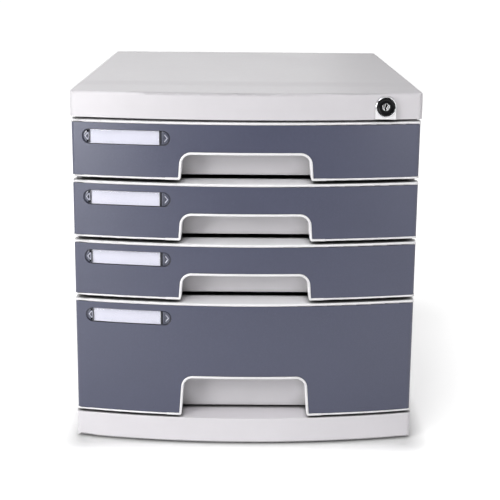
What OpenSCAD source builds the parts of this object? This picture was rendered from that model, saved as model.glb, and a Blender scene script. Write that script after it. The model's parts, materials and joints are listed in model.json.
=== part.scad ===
// Desktop file drawer: a bowed-front cabinet with three shallow drawers, one deep drawer
// and a key lock that holds all four drawers through one rising bar.
// X runs to the right, Y from the front to the back, Z up, all sizes in millimetres.
// The origin is on the table, under the middle of the cabinet.

/* [Cabinet] */
// Overall width
body_w = 300; // [294:1:340]
// Overall depth, from the middle of the bowed front to the back
body_d = 368; // [350:1:420]
// How far the front bows forward in the middle
bow = 16; // [10:1:20]
// Radius of the upright front corners
corner_r = 4.5; // [3.5:0.5:6]
// Height of the plinth, without its feet
plinth_h = 23; // [20:1:40]
// Height of the cover's front edge
cover_h = 22.5; // [22.5:0.5:34]
// Rise from the cover's front ledge to its flat field
field_rise = 1.5; // [0.5:0.5:3]
// Wall of the cover and of the plinth
shell_t = 2.4; // [1.8:0.2:3]
// Wall of the side panels
side_t = 2.4; // [1.8:0.2:3]
// Thickness of the back panel
back_t = 2.5; // [1.6:0.1:3]
// How far the feet stand out below the plinth
foot_h = 2; // [1:0.5:5]
// Radius of a foot
foot_r = 9; // [6:0.5:10]

/* [Drawers] */
// Height of a shallow drawer's front
small_h = 50; // [46:1:70]
// Height of the deep drawer's front
deep_h = 104; // [80:1:140]
// Gap between one drawer front and the next
drawer_gap = 3; // [2:0.5:5]
// Gap between the drawer fronts and the cover or the plinth
end_gap = 2; // [1.5:0.5:4]
// How far each drawer pulls out
drawer_travel = 250; // [200:5:260]
// Gap between a closed tray and the back panel
rear_gap = 6.2; // [5:0.2:12]
// Gap between a tray's side wall and the side panel, for the flange and the lock bar
tray_gap = 9.5; // [9.5:0.5:25]
// Wall of a tray
tray_t = 2; // [1.6:0.1:2.6]
// Drop from the top of a front to the rim of its tray
rim_drop = 5.5; // [5.5:0.5:8]

/* [Fronts] */
// How far a drawer front stays inside the outline of the cabinet
reveal = 0.6; // [0.4:0.1:2]
// How far the light trim stands proud of the dark panel
bead_proud = 0.4; // [0.2:0.1:0.8]
// Thickness of the dark panel
panel_t = 2.4; // [2:0.1:3]
// Light trim above the panel
top_trim = 2.6; // [2:0.1:4]
// Light trim below the panel
bottom_trim = 1.9; // [1.5:0.1:3]
// Light trim around the finger notch
notch_trim = 2; // [1.5:0.1:3]
// Width of the finger notch at the bottom
notch_w = 111; // [80:1:116]
// Height of the finger notch of a shallow drawer
notch_h_small = 22; // [20:0.5:26]
// Height of the finger notch of the deep drawer
notch_h_deep = 35; // [25:0.5:45]
// Radius of the notch's upper corners
notch_r = 8.5; // [6:0.5:9]
// Length of the label recess, where the notch leaves that much room
label_w = 76; // [60:1:78]
// Height of the label recess
label_h = 13; // [10:0.5:15]
// Distance from the panel's top edge to the middle of the label
label_drop = 12; // [10:0.5:13]

/* [Lock] */
// Distance of the lock from the right side of the cabinet
lock_inset = 32.5; // [30:0.5:60]
// Radius of the lock's chrome ring
ring_r = 8.7; // [8:0.1:9]
// Radius from the lock's axis to the drive pin
cam_throw = 6; // [5:0.25:6.25]
// Thickness of the steel lock bar
bar_t = 1.8; // [1.2:0.1:2]
// Width of the steel lock bar
bar_w = 12; // [8:0.5:12]

/* [Hidden] */
$fn = 48;
bow_fn = 720;        // steps of the preview on the large front radius
eps = 1;             // how far a cut runs past the face that it opens

// Plan of the cabinet
half_w = body_w / 2;
back_y = body_d / 2;
corner_y = -back_y + bow;                               // plane through the two front corners
front_r = (half_w * half_w + bow * bow) / (2 * bow);    // radius of the bowed front
axis_y = -back_y + front_r;                             // its centre

// Heights, from the table up
plinth_z = foot_h;
plinth_top = plinth_z + plinth_h;
front_h = [small_h, small_h, small_h, deep_h];
function front_z(k) = plinth_top + end_gap
  + (k == 3 ? 0 : deep_h + drawer_gap + (2 - k) * (small_h + drawer_gap));
function front_top(k) = front_z(k) + front_h[k];
cover_z = front_top(0) + end_gap;
ledge_z = cover_z + cover_h;
body_h = ledge_z + field_rise;

// Cover
cover_edge_r = 2.5;          // rounding of the front edge
cover_side_r = 4.5;          // rounding of the two side edges
ramp_y = corner_y + 34;      // the field starts to rise here
ramp_len = 28;
ramp_steps = 14;
rib_t = 1.6;                 // thin ribs of the mouldings
cover_rib_h = 4;
cover_rib_x = [-80, 0, 80];
cover_rib_y = [ramp_y + ramp_len, 0, 90];

// Side panels
side_gap = 0.2;                                  // side panel to the inside of the cover
side_out = half_w - shell_t - side_gap;
side_in = side_out - side_t;
side_front = corner_y + 13;
side_back = back_y - shell_t - side_gap;
side_top = body_h - cover_side_r - 0.1;
lip_w = 4.8;                                     // folded front edge
lip_t = 2.4;
stiffener_y = [corner_y + 110, corner_y + 188, corner_y + 266];
stiffener_t = 1.5;

// Back panel, held in a groove of each side panel
groove_y = side_back - 5.2;                      // front face of the back panel
groove_wall = 2.4;
groove_w = 4;
back_rib_w = 6;
back_rib_n = 4;
back_margin = 16;
back_recess = 0.8;

// Trays and runners
wall_y = corner_y + 10;                          // front face of every tray
wall_t = 2.2;
tray_lift = 0.6;                                 // tray bottom above the front's bottom edge
tray_hw = side_in - tray_gap;                    // half the width of a tray at its rim
tray_back = groove_y - rear_gap;
tray_draft = 1.5;                                // degrees
tray_edge_r = 6;                                 // rounding below the tray's walls
tray_corner_r = 10;                              // rounding of the tray's rear corners
floor_extra = 0.2;                               // the floor is this much thicker than the walls
floor_rib_x = [-96, -48, 0, 48, 96];
floor_rib_h = 0.8;
run_gap = 0.4;                                   // flange to rib
side_clear = 0.8;
bar_gap = 0.4;                                   // side panel to the lock bar
flange_t = 2;
flange_out = side_in - bar_gap - bar_t - side_clear;
rib_in = tray_hw + 2.1;                          // the ribs reach in to here
rail_t = 2.2;
rail_y = [corner_y + 32, tray_back + 1];
rail_lead = 6;
function rim_z(k) = front_top(k) - rim_drop;
function floor_z(k) = front_z(k) + tray_lift;

// Stops and lock lugs hang below the flange, at the same height
lug_low = 16;
lug_high = 8;
lug_in = tray_hw - 1.6;
lug_out = flange_out - 0.5;
lug_t = 6;
stop_t = 4;
stop_y = corner_y + 34;
stop_play = 0.5;
stop_lug_y = stop_y + stop_t + stop_play + drawer_travel;

// Lock
lock_x = half_w - lock_inset;
lock_z = cover_z + 11;
seat_hw = ring_r + 0.3;
function arc_y(x, inset) = axis_y - sqrt(pow(front_r - inset, 2) - x * x);
seat_y = arc_y(lock_x - seat_hw, 0) - 0.1;       // flat face of the lock seat
seat_wall = 3;
seat_lip = 2.5;
seat_lip_t = 1.6;
seat_play = 0.15;
seat_len = 8;
seat_sleeve = 1.4;
barrel_r = 6.9;
barrel_face_r = 7.8;
barrel_proud = 1.8;
barrel_edge = 0.6;
ring_t = 1.2;
plug_r = 4.45;
lock_fit = 0.05;                                 // running gap of the plug, and gap of the barrel's seat
nose_r = 3.4;
nose_len = 3;
nose_back = 0.3;                                 // the plug's nose stays this far behind the barrel's face
key_depth = 14;
cam_t = 2;
cam_r = 5;
lever_r = 3;
pin_r = 2;
pin_len = 6.6;
slot_gap = 0.4;
nut_t = 2.5;
nut_r = 9.4;
cam_y = corner_y + 12;                           // rear end of the barrel, where the cam sits
barrel_len = cam_y - seat_y;
bar_lift = 2 * cam_throw * sin(45);              // bar travel for a quarter turn of the key
bar_x = [side_in - bar_gap - bar_t, side_in - bar_gap];
bar_y = [cam_y + 4, cam_y + 4 + bar_w];
catch_y = [bar_y[0] + 1, bar_y[0] + 7];
strike_y = [catch_y[1] + 2, catch_y[1] + 7];
catch_h = lug_high;
catch_low = lug_low + catch_h + 4;
catch_in = tray_hw + 2.9;
bar_tail = 4;                                    // the bar ends this far below its lowest catch
pin_z = lock_z - cam_throw * sin(45);            // drive pin at rest
arm_hh = 4.1;                                    // half the height of the bar's arm
arm_end = lock_x - cam_throw - pin_r - 3.5;
hook_rise = 3;
hook_h = 4;
hook_t = 1.2;
hook_play = 0.3;
hook_grip = 2;
hook_wall = 2.4;

// Cover clips
snap_y = [corner_y + 90, corner_y + 180, corner_y + 270];
snap_w = 15;
snap_z = [cover_z + 10, cover_z + 13.4];
snap_depth = 1.6;
snap_slope = 1.2;

// Fronts
panel_in = reveal + bead_proud;
panel_wrap = 6;                                  // the panel's ends reach back this far
frame_gap = 0.1;
frame_in = panel_in + panel_t + frame_gap;
frame_t = 2;
notch_draft = 4;
notch_blend = 0.02;                              // the corner arcs run this far past their tangent points
flare_r = 2;
end_r = 1;                                       // rounding of the trim's ends
label_margin = 10.2;
label_len = min(label_w, half_w - label_margin - notch_w / 2 - notch_trim - 6);
label_x = -half_w + label_margin + label_len / 2;
label_depth = 1.9;
label_floor = 1.5;
label_rim = 2;
card_w = label_len - 16;
card_h = label_h - 1;
card_shift = -1.7;
card_t = 0.3;
window_gap = 0.3;
window_t = 0.8;
grip_x = [1.6, 3.3, 5];                          // grip ribs, measured from the card's right end
grip_t = 0.8;
arrow_inset = 4.6;
arrow_size = [2.8, 2.4];
front_ribs = [22, 66, 105, half_w - 10];
screw_x = [78, tray_hw - 8.5];
screw_rise = 12;
screw_drop = 36;
screw_r = 1.15;
screw_len = 6;                                   // how far a screw bites
pilot_r = 1.2;
hole_r = 1.6;
boss_r = 3.5;
head_r = 2.8;
head_t = 1.8;
drive_w = 0.8;                                   // cross slot of the screw heads
drive_len = 3;

// Base
plinth_edge = [2.5, 0.8];                        // rounding of the plinth's lower and upper edge
plinth_rib_x = [-70, 0, 70];
plinth_rib_y = [for (i = [1:3]) corner_y + i * (back_y - corner_y) / 4];
plinth_rib_h = 3;
upstand_h = 6;
upstand_t = 2.2;
base_screw_y = [corner_y + 60, back_y - 62];
base_screw_x = side_in - 3.6;
base_boss_r = 5;
screw_seat_z = plinth_top - shell_t - 6;
side_boss = [7, 12, 4];                          // width, height and half the length of a side panel's boss
foot_x = half_w - 25;
foot_y = [corner_y + 32, back_y - 34];
foot_seat_z = foot_h + 2;
foot_edge = 1;
foot_stem_r = 3;
foot_stem_h = 7;

function notch_h(k) = k == 3 ? notch_h_deep : notch_h_small;
function label_z(k) = front_top(k) - top_trim - label_drop;
function screw_zs(k) = k == 3 ? [front_z(3) + screw_rise, front_top(3) - screw_drop]
  : [front_z(k) + screw_rise];

// ---------- helpers ----------

// A block from its lowest to its highest corner, given per axis
module block(x, y, z) translate([x[0], y[0], z[0]]) cube([x[1] - x[0], y[1] - y[0], z[1] - z[0]]);

// A drawing seen from the front, carried from y0 to y1
module along_y(y0, y1) translate([0, y1, 0]) rotate([90, 0, 0]) linear_extrude(y1 - y0) children();

// A drawing seen from the right (Y across, Z up), carried from x0 to x1
module along_x(x0, x1) translate([x0, 0, 0]) rotate([90, 0, 90]) linear_extrude(x1 - x0) children();

module upright(z0, z1) translate([0, 0, z0]) linear_extrude(z1 - z0) children();

module both_sides() {
  children();
  mirror([1, 0, 0]) children();
}

module stadium(w, h) {
  square([w - h, h], center = true);
  for (s = [-1, 1]) translate([s * (w - h) / 2, 0]) circle(h / 2);
}

// Plan of the cabinet, moved inwards by inset: bowed front, round front corners, flat back
module plan(inset) {
  r = front_r - inset;
  c = max(corner_r - inset, 0.4);
  hw = half_w - inset;
  cx = hw - c;
  cy = axis_y - sqrt(pow(r - c, 2) - cx * cx);
  far = (r + 3 * c) / (r - c);
  far_y = axis_y + far * (cy - axis_y);
  difference() {
    intersection() {
      translate([0, axis_y]) circle(r, $fn = bow_fn);
      translate([-hw, -back_y - eps]) square([2 * hw, 2 * back_y + eps - inset]);
    }
    for (s = [-1, 1]) difference() {
      polygon([[s * cx, cy], [s * cx * far, far_y], [s * (hw + 3 * c), far_y], [s * (hw + 3 * c), cy]]);
      translate([s * cx, cy]) circle(c);
    }
  }
}

// A disc under the bowed front, its rim rounded by low_r below and by top_r above
module bowed_disc(inset, z0, z1, low_r, top_r, crown = 0) {
  r = front_r - inset;
  h = z1 - z0;
  translate([0, axis_y, z0]) rotate_extrude($fn = bow_fn) {
    square([r - max(low_r, top_r), h + crown]);
    if (h > low_r + top_r) translate([0, low_r]) square([r, h - low_r - top_r]);
    if (top_r < low_r) translate([0, low_r]) square([r - top_r, h - low_r]);
    if (low_r > 0) translate([r - low_r, low_r]) circle(low_r);
    translate([r - top_r, h - top_r]) circle(top_r);
  }
}

// A curved wall between two insets, cut off behind y
module bowed_wall(outer, inner, z0, z1, y) {
  upright(z0, z1) difference() {
    plan(outer);
    plan(inner);
    translate([-half_w - eps, y]) square([body_w + 2 * eps, body_d]);
  }
}

// ---------- cabinet ----------

// The cover's outer form, and with an inset the hollow under it
module cover_form(inset) {
  low = cover_z - (inset > 0 ? eps : 0);
  top = body_h - inset;
  ledge = ledge_z - inset;
  edge = max(cover_edge_r - inset, 0.1);
  side = cover_side_r - inset;
  hw = half_w - inset;
  back = back_y - inset;
  intersection() {
    upright(low, top) plan(inset);
    bowed_disc(inset, low, ledge, 0, edge, field_rise);
    along_x(-half_w, half_w) {
      polygon(concat([[-back_y - eps, low], [back, low], [back, top - edge], [back - edge, top]],
        [for (i = [ramp_steps:-1:0]) [ramp_y + ramp_len * i / ramp_steps,
          ledge + field_rise * (1 - cos(180 * i / ramp_steps)) / 2]],
        [[-back_y - eps, ledge]]));
      translate([back - edge, top - edge]) circle(edge);
    }
    along_y(-back_y - eps, back_y) {
      translate([-hw, low]) square([2 * hw, top - side - low]);
      translate([-hw + side, low]) square([2 * (hw - side), top - low]);
      for (s = [-1, 1]) translate([s * (hw - side), top - side]) circle(side);
    }
  }
}

// Front view of the lock seat: flat sides, round top, open below
module seat_view(hw) {
  translate([lock_x, lock_z]) circle(hw);
  translate([lock_x - hw, cover_z - eps]) square([2 * hw, lock_z - cover_z + eps]);
}

module top_cover() color("gainsboro") {
  rib_z = [ledge_z - shell_t - cover_rib_h, body_h - shell_t / 2];
  rib_x = side_in - 16;
  pad_y = [ramp_y + ramp_len, side_back];
  difference() {
    cover_form(0);
    cover_form(shell_t);
    along_y(-back_y - eps, corner_y + eps) seat_view(seat_hw);
  }
  for (x = cover_rib_x) block([x - rib_t / 2, x + rib_t / 2], [cover_rib_y[0], groove_y - 1], rib_z);
  for (y = cover_rib_y) block([-rib_x, rib_x], [y, y + rib_t], rib_z);
  both_sides() {
    // pad that rests on the side panel
    block([side_in - 1, side_out], pad_y, [side_top, rib_z[1]]);
    for (y = snap_y) snap_nub(y);
  }
}

// A wedge inside the cover's skirt that seats in a window of the side panel
module snap_nub(y) {
  root = half_w - shell_t / 2;
  face = half_w - shell_t;
  along_y(y - snap_w / 2, y + snap_w / 2)
    polygon([[root, snap_z[0]], [root, snap_z[1]], [face - snap_depth, snap_z[1]],
      [face - snap_depth, snap_z[0] + snap_slope], [face, snap_z[0]]]);
}

module plinth() color("gainsboro") {
  top_in = plinth_top - shell_t;
  rib_z = [top_in - plinth_rib_h, plinth_top - shell_t / 2];
  wall = half_w - shell_t / 2;
  difference() {
    intersection() {
      upright(plinth_z, plinth_top) plan(0);
      bowed_disc(0, plinth_z, plinth_top, plinth_edge[0], plinth_edge[1]);
    }
    upright(plinth_z - eps, top_in) plan(shell_t);
    for (s = [-1, 1], y = base_screw_y)
      translate([s * base_screw_x, y, top_in - eps]) cylinder(r = hole_r, h = shell_t + 2 * eps);
  }
  for (x = plinth_rib_x) block([x - rib_t / 2, x + rib_t / 2], [corner_y, back_y - shell_t / 2], rib_z);
  for (y = plinth_rib_y) block([-wall, wall], [y, y + rib_t], rib_z);
  for (s = [-1, 1]) {
    for (y = foot_y) translate([s * foot_x, y, 0]) difference() {
      translate([0, 0, foot_seat_z]) cylinder(r = foot_r + 2, h = rib_z[1] - foot_seat_z);
      translate([0, 0, foot_seat_z - eps]) cylinder(r = foot_stem_r + 0.1, h = foot_stem_h + 2 * eps);
    }
    for (y = base_screw_y) translate([s * base_screw_x, y, 0]) difference() {
      translate([0, 0, screw_seat_z]) cylinder(r = base_boss_r, h = rib_z[1] - screw_seat_z);
      translate([0, 0, screw_seat_z - eps]) cylinder(r = hole_r, h = plinth_h);
    }
  }
  // upstands that locate the side panels and the back panel
  both_sides() block([side_in - 0.4 - upstand_t, side_in - 0.4],
    [base_screw_y[0] + 12, base_screw_y[1] - 12], [plinth_top - eps, plinth_top + upstand_h]);
  block([-half_w + 14, half_w - 14], [groove_y - 0.2 - upstand_t, groove_y - 0.2],
    [plinth_top - eps, plinth_top + upstand_h]);
}

module feet() color("dimgray") for (s = [-1, 1], y = foot_y) translate([s * foot_x, y, 0]) {
  rotate_extrude() {
    square([foot_r - foot_edge, foot_seat_z]);
    translate([0, foot_edge]) square([foot_r, foot_seat_z - foot_edge]);
    translate([foot_r - foot_edge, foot_edge]) circle(foot_edge);
  }
  cylinder(r = foot_stem_r, h = foot_seat_z + foot_stem_h);
}

// A pan-head screw along Z: the head's top at z = head_t, the shank down to z = -len
module screw(len, r) {
  difference() {
    cylinder(r = r, h = head_t);
    for (a = [0, 90]) rotate(a) translate([0, 0, head_t]) cube([drive_len, drive_w, head_t], center = true);
  }
  translate([0, 0, -len]) cylinder(r = screw_r, h = len);
}

module base_screws() color("silver") for (s = [-1, 1], y = base_screw_y)
  translate([s * base_screw_x, y, screw_seat_z]) rotate([180, 0, 0])
    screw(plinth_top - screw_seat_z + side_boss[1] - 3, head_r + 0.4);

// Plan of a runner rib, its front end slanted as a lead-in
module rail_plan() polygon([[side_in + side_t / 2, rail_y[0]], [side_in, rail_y[0]],
  [rib_in, rail_y[0] + rail_lead], [rib_in, rail_y[1]], [side_in + side_t / 2, rail_y[1]]]);

// The right-hand side panel, without the lock bar's guides
module side_shell() {
  mid = side_in + side_t / 2;
  difference() {
    block([side_in, side_out], [side_front, side_back], [plinth_top, side_top]);
    for (y = snap_y) block([side_in - eps, side_out + eps], [y - snap_w / 2 - 0.5, y + snap_w / 2 + 0.5],
      [snap_z[0] - 0.5, snap_z[1] + 0.3]);
  }
  block([side_out - lip_w, side_out], [side_front, side_front + lip_t], [plinth_top, side_top]);
  for (k = [0:3]) {
    low_rail = rim_z(k) - flange_t - run_gap;
    top_rail = rim_z(k) + run_gap;
    upright(low_rail - rail_t, low_rail) rail_plan();
    upright(top_rail, top_rail + rail_t) rail_plan();
    block([rib_in + 0.4, mid], [stop_y, stop_y + stop_t], [rim_z(k) - lug_low, rim_z(k) - lug_high + 1]);
  }
  for (y = stiffener_y) block([side_in - stiffener_t, mid], [y, y + 2], [plinth_top + 9, side_top - 20]);
  block([side_in - groove_w, mid], [groove_y - groove_wall, groove_y], [plinth_top, side_top]);
  block([side_in - groove_w, mid], [groove_y + back_t + 0.2, side_back], [plinth_top, side_top]);
  for (y = base_screw_y) difference() {
    block([side_in - side_boss[0], mid], [y - side_boss[2], y + side_boss[2]], [plinth_top, plinth_top + side_boss[1]]);
    translate([base_screw_x, y, plinth_top - eps]) cylinder(r = pilot_r, h = side_boss[1]);
  }
}

// Two hooks that keep the lock bar against the side panel, above tray k's flange
module bar_guide(k) {
  z = [rim_z(k) + hook_rise, rim_z(k) + hook_rise + hook_h];
  face = [bar_x[0] - hook_play - hook_t, bar_x[0] - hook_play];
  front = [bar_y[0] - hook_play - hook_wall, bar_y[0] - hook_play];
  rear = [bar_y[1] + hook_play, bar_y[1] + hook_play + hook_wall];
  block([face[0], side_in + eps], front, z);
  block(face, [front[0], bar_y[0] + hook_grip], z);
  block([face[0], side_in + eps], rear, z);
  block(face, [bar_y[1] - hook_grip, rear[1]], z);
}

module left_side() color("gainsboro") mirror([1, 0, 0]) side_shell();

module right_side() color("gainsboro") {
  side_shell();
  for (k = [0:3]) bar_guide(k);
}

module back_panel() color("lightgray") {
  hw = side_in - 0.3;
  z = [plinth_top, side_top - 0.4];
  step = (z[1] - z[0] - 2 * back_margin) / (back_rib_n + 1);
  difference() {
    block([-hw, hw], [groove_y, groove_y + back_t], z);
    for (i = [0:back_rib_n]) block([-hw + back_margin, hw - back_margin],
      [groove_y + back_t - back_recess, groove_y + back_t + eps],
      [z[0] + back_margin + i * step + back_rib_w / 2, z[0] + back_margin + (i + 1) * step - back_rib_w / 2]);
  }
}

// ---------- lock ----------

// Turns a shape drawn along Z so that it runs to the back, from the lock's axis at depth y
module on_lock_axis(y) translate([lock_x, y, lock_z]) rotate([-90, 0, 0]) children();

module lock_seat() color("whitesmoke") {
  deep = shell_t + seat_lip_t + 0.1;
  difference() {
    union() {
      intersection() {
        along_y(seat_y, corner_y + eps) seat_view(seat_hw - seat_play);
        union() {
          block([0, half_w], [seat_y, seat_y + seat_wall], [cover_z + 0.4, ledge_z]);
          bowed_wall(0, deep, cover_z + 0.4, ledge_z, corner_y + eps);
        }
      }
      intersection() {
        along_y(seat_y, corner_y + eps) seat_view(seat_hw + seat_lip);
        bowed_wall(shell_t + 0.1, deep, cover_z + 0.4, ledge_z - shell_t - 0.2, corner_y + eps);
      }
      on_lock_axis(seat_y) cylinder(r = barrel_r + seat_sleeve, h = seat_len);
    }
    on_lock_axis(seat_y - eps) cylinder(r = barrel_r + lock_fit, h = seat_len + 2 * eps);
  }
}

module lock_ring() color("silver") on_lock_axis(seat_y) rotate_extrude() difference() {
  union() {
    translate([barrel_r + lock_fit, -ring_t]) square([ring_r - ring_t / 2 - barrel_r - lock_fit, ring_t]);
    translate([barrel_r + lock_fit, -ring_t / 2]) square([ring_r - barrel_r - lock_fit, ring_t / 2]);
    translate([ring_r - ring_t / 2, -ring_t / 2]) circle(ring_t / 2);
  }
  translate([barrel_r - eps, -ring_t - eps]) square([barrel_face_r + lock_fit - barrel_r + eps, ring_t / 2 + eps]);
}

module lock_barrel() color("#202024") on_lock_axis(seat_y) rotate_extrude() difference() {
  union() {
    translate([0, -barrel_proud]) square([barrel_face_r - barrel_edge, barrel_proud - ring_t / 2]);
    translate([0, -barrel_proud + barrel_edge])
      square([barrel_face_r, barrel_proud - ring_t / 2 - barrel_edge]);
    translate([barrel_face_r - barrel_edge, -barrel_proud + barrel_edge]) circle(barrel_edge);
    translate([0, -barrel_proud + barrel_edge]) square([barrel_r, barrel_len + barrel_proud - barrel_edge]);
  }
  translate([-eps, -barrel_proud - eps]) square([nose_r + lock_fit + eps, barrel_len + 2 * barrel_proud]);
  translate([-eps, nose_len]) square([plug_r + lock_fit + eps, barrel_len]);
}

module lock_nut() color("silver") on_lock_axis(seat_y + seat_len) difference() {
  cylinder(r = nut_r, h = nut_t, $fn = 6);
  translate([0, 0, -eps]) cylinder(r = barrel_r + lock_fit, h = nut_t + 2 * eps);
}

// The plug turns in the barrel. Its stepped keyway opens at the front.
module lock_plug() color("silver") on_lock_axis(seat_y) difference() {
  union() {
    translate([0, 0, -barrel_proud + nose_back]) cylinder(r = nose_r, h = nose_len + barrel_proud);
    translate([0, 0, nose_len + 0.1]) cylinder(r = plug_r, h = barrel_len - nose_len - 0.1);
  }
  translate([0, 0, -barrel_proud - eps]) linear_extrude(key_depth)
    polygon([[-1, -2.9], [0.2, -2.9], [0.2, -0.9], [0.8, -0.2], [0.8, 2.9], [-0.4, 2.9], [-0.4, 0.6], [-1, 0]]);
}

// The cam is a lever behind the plug; its pin drives the bar's arm
module lock_cam() color("silver") on_lock_axis(cam_y) rotate(-45) {
  linear_extrude(cam_t) {
    circle(cam_r);
    translate([-cam_throw, -lever_r]) square([cam_throw, 2 * lever_r]);
    translate([-cam_throw, 0]) circle(lever_r);
  }
  translate([-cam_throw, 0, 0]) cylinder(r = pin_r, h = pin_len);
}

module lock_bar() color("silver") {
  arm_y = [bar_y[0], bar_y[0] + bar_t];
  sway = cam_throw * (1 - cos(45));                // sideways play of the pin in the slot
  difference() {
    union() {
      block(bar_x, bar_y, [rim_z(3) - catch_low - bar_tail, pin_z + arm_hh]);
      block([arm_end, bar_x[1]], arm_y, [pin_z - arm_hh, pin_z + arm_hh]);
    }
    along_y(arm_y[0] - eps, arm_y[1] + eps) translate([lock_x - cam_throw + sway / 2, pin_z])
      stadium(2 * (pin_r + slot_gap) + sway, 2 * (pin_r + slot_gap));
  }
  for (k = [0:3])
    block([catch_in, bar_x[1]], catch_y, [rim_z(k) - catch_low, rim_z(k) - catch_low + catch_h]);
}

// ---------- drawers: k = 0 is the top drawer, k = 3 the deep one ----------

// The tray's outer form, and with an inset the space inside it
module tray_form(k, inset, floor_t) {
  z0 = floor_z(k) + floor_t;
  z1 = rim_z(k) + (inset > 0 ? eps : 0);
  r = tray_edge_r - inset;
  lean = tan(tray_draft);
  hw_top = tray_hw - inset + lean * (z1 - rim_z(k));
  hw_low = hw_top - lean * (z1 - z0);
  cx = hw_low + lean * r - r / cos(tray_draft);
  ux = r * cos(tray_draft);
  uz = r * sin(tray_draft);
  y0 = wall_y + (inset > 0 ? wall_t : 0);
  back = tray_back - inset;
  cr = tray_corner_r - inset;
  intersection() {
    along_y(y0, tray_back) {
      polygon([[-hw_top, z1], [hw_top, z1], [cx + ux, z0 + r - uz], [cx, z0], [-cx, z0], [-cx - ux, z0 + r - uz]]);
      for (s = [-1, 1]) translate([s * cx, z0 + r]) circle(r);
    }
    along_x(-half_w, half_w) {
      translate([y0, z0]) square([back - r - y0, z1 - z0]);
      translate([back - 2 * r, z0 + r]) square([2 * r, z1 - z0 - r]);
      translate([back - r, z0 + r]) circle(r);
    }
    upright(z0, z1) {
      translate([-half_w, y0]) square([body_w, back - cr - y0]);
      translate([-hw_top + cr, y0]) square([2 * (hw_top - cr), back - y0]);
      for (s = [-1, 1]) translate([s * (hw_top - cr), back - cr]) circle(cr);
    }
  }
}

module drawer_tray(k) color("gainsboro") {
  z1 = rim_z(k);
  lug_z = [z1 - lug_low, z1 - lug_high];
  difference() {
    union() {
      tray_form(k, 0, 0);
      // front wall, which also closes the back of the hollow front
      block([-bar_x[0] - 0.2, bar_x[0] + 0.2], [wall_y, wall_y + wall_t], [floor_z(k), front_top(k) - top_trim - 0.2]);
      both_sides() {
        block([tray_hw - tray_t / 2, flange_out], [strike_y[0], tray_back - tray_corner_r], [z1 - flange_t, z1]);
        block([lug_in, lug_out], [stop_lug_y, stop_lug_y + lug_t], lug_z);
      }
      block([lug_in, lug_out], strike_y, lug_z);
      // thickened rim of the back wall
      block([-tray_hw + tray_corner_r, tray_hw - tray_corner_r], [tray_back - tray_t, tray_back + 1], [z1 - flange_t, z1]);
    }
    tray_form(k, tray_t, tray_t + floor_extra);
    for (s = [-1, 1], x = screw_x, z = screw_zs(k))
      along_y(wall_y - eps, wall_y + wall_t + eps) translate([s * x, z]) circle(hole_r);
  }
  // low ribs along the floor keep papers off it
  for (x = floor_rib_x) block([x - rib_t / 2, x + rib_t / 2], [wall_y + 24, tray_back - 24],
    [floor_z(k) + tray_t / 2, floor_z(k) + tray_t + floor_extra + floor_rib_h]);
}

// Front view of the finger notch, its outline moved outwards by grow
module notch_view(k, grow) {
  h = notch_h(k) + grow;
  r = notch_r + grow;
  hw = notch_w / 2 + grow;
  lean = tan(notch_draft);
  ux = r * cos(notch_draft);
  uz = r * sin(notch_draft);
  cz = h - r;
  cx = hw - lean * cz - r / cos(notch_draft);
  translate([0, front_z(k)]) {
    polygon([[-hw - lean * eps, -eps], [hw + lean * eps, -eps], [cx + ux, cz + uz], [cx, cz], [cx, h],
      [-cx, h], [-cx, cz], [-cx - ux, cz + uz]]);
    for (s = [-1, 1]) translate([s * cx, cz]) circle(r + notch_blend);
  }
}

// Rounded foot of the notch's opening, where it runs into the lower trim
module notch_flare(k) for (s = [-1, 1]) translate([s * notch_w / 2, front_z(k)]) difference() {
  translate([s > 0 ? -eps / 2 : -flare_r, -eps]) square([flare_r + eps / 2, flare_r + eps]);
  translate([s * flare_r, flare_r]) circle(flare_r);
}

// Front view of the whole front, its corners rounded
module front_view(k) {
  hw = half_w - reveal;
  translate([-hw + end_r, front_z(k)]) square([2 * (hw - end_r), front_h[k]]);
  translate([-hw, front_z(k) + end_r]) square([2 * hw, front_h[k] - 2 * end_r]);
  for (s = [-1, 1], z = [front_z(k) + end_r, front_top(k) - end_r]) translate([s * (hw - end_r), z]) circle(end_r);
}

// Front view of the label recess, its outline moved outwards by grow
module label_view(k, grow) translate([label_x, label_z(k)]) stadium(label_len + 2 * grow, label_h + 2 * grow);

// A level plate of the front frame from z0 to z1, with a round nose
module frame_plate(z0, z1) intersection() {
  upright(z0, z1) difference() {
    plan(reveal);
    translate([-half_w, wall_y]) square([body_w, body_d]);
  }
  bowed_disc(reveal, z0, z1, (z1 - z0) / 2, (z1 - z0) / 2);
}

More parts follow.
